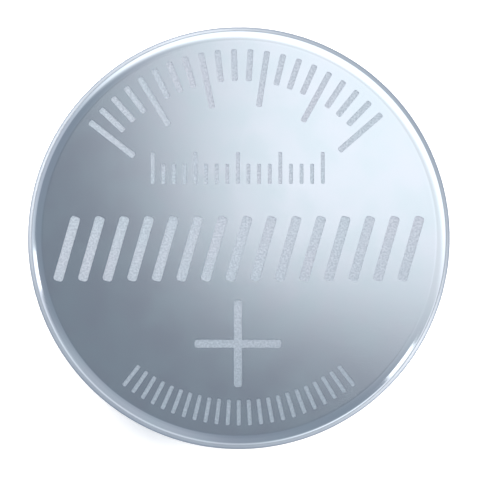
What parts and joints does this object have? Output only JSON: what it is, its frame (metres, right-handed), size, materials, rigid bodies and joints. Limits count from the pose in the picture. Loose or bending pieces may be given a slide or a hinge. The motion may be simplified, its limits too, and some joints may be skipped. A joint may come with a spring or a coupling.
{
  "type": "lithium coin cell",
  "caption": "Round lithium coin cell with a crimped steel can as the positive pole, a stepped steel cap as the negative pole, and a plastic gasket between them.",
  "frame": {"origin": "middle of the negative cap's contact face, which is the lowest face of the cell as it lies", "axes": "+Z along the cell's axis, out of the positive face; +Y towards the top of the marks on the positive face; +X to their right"},
  "size_m": [0.02, 0.02, 0.0032],
  "materials": {
    "can_steel": "satin nickel-plated stainless steel, with marks etched matt",
    "cap_steel": "satin stainless steel",
    "gasket_plastic": "moulded polypropylene coated with a dark sealant",
    "lithium_foil": "dull soft metal with a grey film",
    "separator_felt": "white nonwoven polypropylene",
    "cathode_powder": "pressed manganese dioxide powder, matt charcoal",
    "collector_mesh": "expanded stainless steel"
  },
  "bodies": {
    "root": {"positive_can": "can_steel", "negative_cap": "cap_steel", "gasket": "gasket_plastic", "lithium_anode": "lithium_foil", "separator": "separator_felt", "cathode_pellet": "cathode_powder", "cathode_collector": "collector_mesh"}
  },
  "joints": []
}
